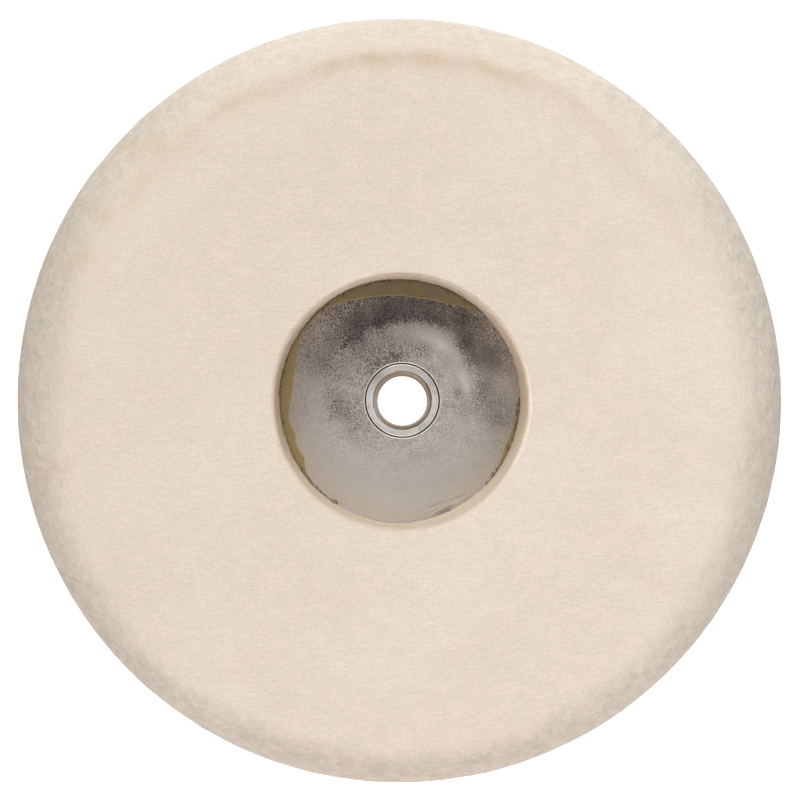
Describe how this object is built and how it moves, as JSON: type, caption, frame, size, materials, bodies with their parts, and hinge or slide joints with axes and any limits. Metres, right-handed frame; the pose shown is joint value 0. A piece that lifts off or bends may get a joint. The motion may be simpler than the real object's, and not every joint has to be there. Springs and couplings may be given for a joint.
{
  "type": "felt polishing wheel",
  "caption": "Ring of pressed wool felt with a rounded edge and deep centre recess, glued to a round steel plate with a welded threaded bush.",
  "frame": {"origin": "on the spin axis, in the plane of the bush's rear end, which the wheel stands on", "axes": "+Z along the spin axis, out of the felt's working face; +X and +Y lie in the plane of the wheel, with the bush's two spanner flats facing +Y and -Y"},
  "size_m": [0.18, 0.18, 0.0347],
  "materials": {
    "wool_felt": "matte",
    "plate_steel": "matte",
    "turned_steel": "satin",
    "adhesive": "satin",
    "weld_metal": "satin"
  },
  "bodies": {
    "root": {"felt_body": "wool_felt", "backing_plate": "plate_steel", "threaded_bush": "turned_steel", "adhesive_layer": "adhesive", "weld_bead": "weld_metal"}
  },
  "joints": []
}
